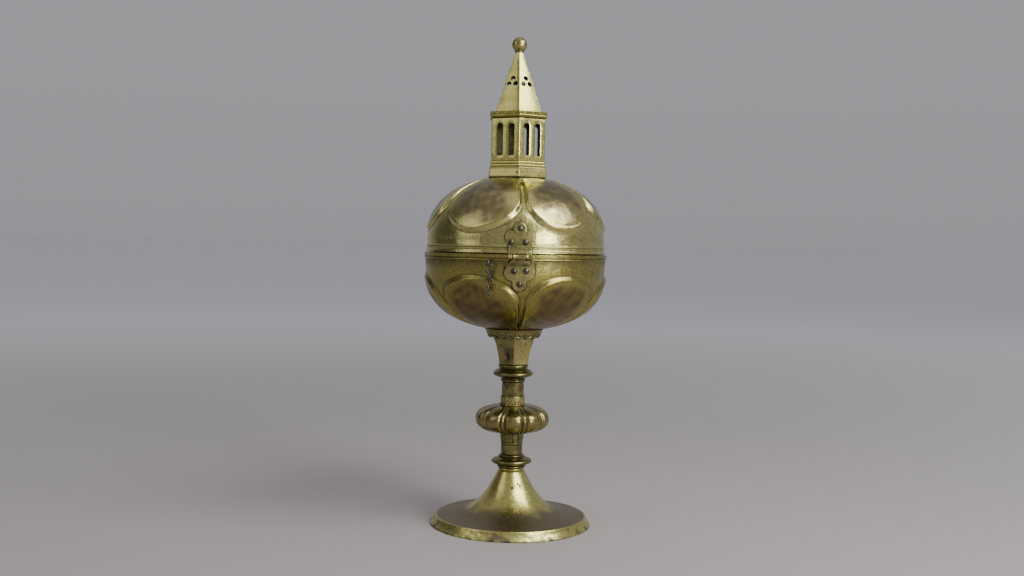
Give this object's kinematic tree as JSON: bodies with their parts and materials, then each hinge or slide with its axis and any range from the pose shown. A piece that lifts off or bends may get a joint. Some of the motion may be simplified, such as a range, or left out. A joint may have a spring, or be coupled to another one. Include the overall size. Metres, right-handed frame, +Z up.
{
  "type": "ciborium",
  "caption": "Footed cup with a hinged domed lid that carries a small spired tower; it holds wafers and closes with a clasp at the front.",
  "frame": {"origin": "on the table plane, at the centre of the round foot", "axes": "+Z up along the stem, -Y to the front with the clasp, +Y to the back with the hinge, +X to the viewer's right from the front"},
  "size_m": [0.109, 0.1164, 0.292],
  "materials": {
    "gilt_copper": "worn gilding over hammered copper",
    "dark_iron": "dark oxidised wrought iron"
  },
  "bodies": {
    "base": {"foot": "gilt_copper", "lower_stem_ring": "gilt_copper", "lower_stem_tube": "gilt_copper", "lower_collar": "gilt_copper", "knop": "gilt_copper", "upper_collar": "gilt_copper", "upper_stem_tube": "gilt_copper", "upper_stem_ring": "gilt_copper", "neck": "gilt_copper", "scalloped_collar": "gilt_copper", "bowl": "gilt_copper", "clasp_plate_bowl": "gilt_copper", "clasp_rivet_bowl_1": "dark_iron", "clasp_rivet_bowl_2": "dark_iron", "clasp_rivet_bowl_3": "dark_iron", "hinge_leaf_bowl": "gilt_copper", "hinge_rivet_bowl_1": "dark_iron", "hinge_rivet_bowl_2": "dark_iron", "hinge_rivet_bowl_3": "dark_iron", "hinge_pin": "gilt_copper", "chain_staple": "dark_iron", "chain_link_1": "dark_iron", "chain_link_2": "dark_iron", "chain_link_3": "dark_iron", "chain_link_4": "dark_iron"},
    "lid": {"lid": "gilt_copper", "tower_plinth": "gilt_copper", "tower_arcade": "gilt_copper", "tower_cornice": "gilt_copper", "spire": "gilt_copper", "finial_ball": "gilt_copper", "clasp_plate_lid": "gilt_copper", "clasp_rivet_lid_1": "dark_iron", "clasp_rivet_lid_2": "dark_iron", "clasp_rivet_lid_3": "dark_iron", "hinge_leaf_lid": "gilt_copper", "hinge_rivet_lid_1": "dark_iron", "hinge_rivet_lid_2": "dark_iron", "hinge_rivet_lid_3": "dark_iron"}
  },
  "joints": [
    {"name": "lid_hinge", "type": "hinge", "parent": "base", "child": "lid", "pos_m": [0, 0.05655, 0.16186], "axis": [-1, 0, 0], "range_deg": [0, 105]}
  ]
}
